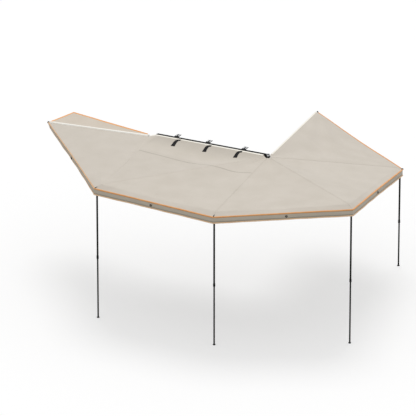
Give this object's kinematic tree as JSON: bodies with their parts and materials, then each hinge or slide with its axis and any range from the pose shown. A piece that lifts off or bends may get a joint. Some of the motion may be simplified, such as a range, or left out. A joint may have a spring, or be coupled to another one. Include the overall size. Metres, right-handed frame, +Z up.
{
  "type": "vehicle side awning",
  "caption": "Swing-out awning for the side of a vehicle: cloth fan on rafters that turn round one hub at the rail's end, with telescopic legs and a front pole.",
  "frame": {"origin": "middle of the flat face under the middle rack bracket, 2.13 m above the ground", "axes": "+X towards the vehicle's rear along the rail, -Y away from the vehicle's side, +Z up"},
  "size_m": [5.8183, 4.6768, 2.2322],
  "materials": {
    "black_paint": "satin black powder coat",
    "black_plastic": "fine-grained black moulding",
    "steel": "zinc plated",
    "pole_metal": "bare tube",
    "canopy_cloth": "coated pale stone cloth",
    "webbing": "woven black webbing",
    "rubber": "matte black"
  },
  "bodies": {
    "rail_frame": {"rail": "black_paint", "rack_bracket_front": "black_paint", "rack_bracket_middle": "black_paint", "rack_bracket_rear": "black_paint", "hub_bracket": "black_paint", "king_bolt": "steel", "king_nut": "steel", "hub_cap": "black_plastic", "pole_socket": "black_paint", "canopy_front_panel": "canopy_cloth", "canopy_front_flap": "canopy_cloth", "strap_rear": "webbing", "strap_middle": "webbing", "strap_front": "webbing"},
    "front_pole": {"front_pole": "pole_metal", "front_pole_cap": "black_plastic"},
    "rafter_1": {"rafter_1_tube": "black_paint", "rafter_1_knuckle": "black_paint", "rafter_1_tip": "black_plastic", "leg_1_pin": "steel", "canopy_side_panel": "canopy_cloth"},
    "rafter_2": {"rafter_2_tube": "black_paint", "rafter_2_knuckle": "black_paint", "rafter_2_tip": "black_plastic", "leg_2_pin": "steel", "canopy_corner_panel": "canopy_cloth"},
    "rafter_3": {"rafter_3_tube": "black_paint", "rafter_3_knuckle": "black_paint", "rafter_3_tip": "black_plastic", "leg_3_pin": "steel", "canopy_rear_panel": "canopy_cloth"},
    "rafter_4": {"rafter_4_tube": "black_paint", "rafter_4_knuckle": "black_paint", "rafter_4_tip": "black_plastic", "leg_4_pin": "steel", "canopy_tail_panel": "canopy_cloth"},
    "rafter_5": {"rafter_5_tube": "black_paint", "rafter_5_knuckle": "black_paint", "rafter_5_tip": "black_plastic"},
    "leg_1": {"leg_1_fitting": "black_plastic", "leg_1_outer_tube": "black_paint", "leg_1_collar": "black_plastic"},
    "leg_1_lower": {"leg_1_inner_tube": "black_paint", "leg_1_foot": "rubber"},
    "leg_2": {"leg_2_fitting": "black_plastic", "leg_2_outer_tube": "black_paint", "leg_2_collar": "black_plastic"},
    "leg_2_lower": {"leg_2_inner_tube": "black_paint", "leg_2_foot": "rubber"},
    "leg_3": {"leg_3_fitting": "black_plastic", "leg_3_outer_tube": "black_paint", "leg_3_collar": "black_plastic"},
    "leg_3_lower": {"leg_3_inner_tube": "black_paint", "leg_3_foot": "rubber"},
    "leg_4": {"leg_4_fitting": "black_plastic", "leg_4_outer_tube": "black_paint", "leg_4_collar": "black_plastic"},
    "leg_4_lower": {"leg_4_inner_tube": "black_paint", "leg_4_foot": "rubber"}
  },
  "joints": [
    {"name": "rafter_1_swing", "type": "hinge", "parent": "rail_frame", "child": "rafter_1", "pos_m": [1.103, -0.215, 0.02], "axis": [0, 0, 1], "range_deg": [-48.2, 0], "deforming": ["canopy_front_panel", "strap_rear", "strap_middle", "strap_front", "canopy_front_flap"]},
    {"name": "rafter_2_swing", "type": "hinge", "parent": "rafter_1", "child": "rafter_2", "pos_m": [1.103, -0.215, 0.02], "axis": [0, 0, 1], "range_deg": [-43.4, 0], "deforming": ["canopy_side_panel"]},
    {"name": "rafter_3_swing", "type": "hinge", "parent": "rafter_2", "child": "rafter_3", "pos_m": [1.103, -0.215, 0.02], "axis": [0, 0, 1], "range_deg": [-49.7, 0], "deforming": ["canopy_corner_panel"]},
    {"name": "rafter_4_swing", "type": "hinge", "parent": "rafter_3", "child": "rafter_4", "pos_m": [1.103, -0.215, 0.02], "axis": [0, 0, 1], "range_deg": [-79.8, 0], "deforming": ["canopy_rear_panel"]},
    {"name": "rafter_5_swing", "type": "hinge", "parent": "rafter_4", "child": "rafter_5", "pos_m": [1.103, -0.215, 0.02], "axis": [0, 0, 1], "range_deg": [-46.7, 0], "deforming": ["canopy_tail_panel"]},
    {"name": "leg_1_fold", "type": "hinge", "parent": "rafter_1", "child": "leg_1", "pos_m": [-0.70002, -2.36375, -0.03744], "axis": [-0.766, 0.6428, 0], "range_deg": [-89.1, 0]},
    {"name": "leg_1_extend", "type": "slide", "parent": "leg_1", "child": "leg_1_lower", "axis": [0, 0, -1], "range_m": [-0.88, 0]},
    {"name": "leg_2_fold", "type": "hinge", "parent": "rafter_2", "child": "leg_2", "pos_m": [1.30901, -2.47865, -0.07144], "axis": [-0.9959, -0.0906, 0], "range_deg": [-89.1, 0]},
    {"name": "leg_2_extend", "type": "slide", "parent": "leg_2", "child": "leg_2_lower", "axis": [0, 0, -1], "range_m": [-0.86, 0]},
    {"name": "leg_3_fold", "type": "hinge", "parent": "rafter_3", "child": "leg_3", "pos_m": [3.09724, -1.52497, 0.02255], "axis": [-0.549, -0.8358, 0], "range_deg": [-88.1, 0]},
    {"name": "leg_3_extend", "type": "slide", "parent": "leg_3", "child": "leg_3_lower", "axis": [0, 0, -1], "range_m": [-0.91, 0]},
    {"name": "leg_4_fold", "type": "hinge", "parent": "rafter_4", "child": "leg_4", "pos_m": [2.56385, 1.42462, -0.55544], "axis": [0.7466, -0.6652, 0], "range_deg": [-100.8, 0]},
    {"name": "leg_4_extend", "type": "slide", "parent": "leg_4", "child": "leg_4_lower", "axis": [0, 0, -1], "range_m": [-0.61, 0]},
    {"name": "front_pole_pull", "type": "slide", "parent": "rail_frame", "child": "front_pole", "axis": [-0.9988, 0, -0.0486], "range_m": [0, 0.3]}
  ],
  "couplings": [
    {"joint": "rafter_2_swing", "follows": "rafter_1_swing", "ratio": 0.90041},
    {"joint": "rafter_3_swing", "follows": "rafter_1_swing", "ratio": 1.0311},
    {"joint": "rafter_4_swing", "follows": "rafter_1_swing", "ratio": 1.6556},
    {"joint": "rafter_5_swing", "follows": "rafter_1_swing", "ratio": 0.96888}
  ]
}
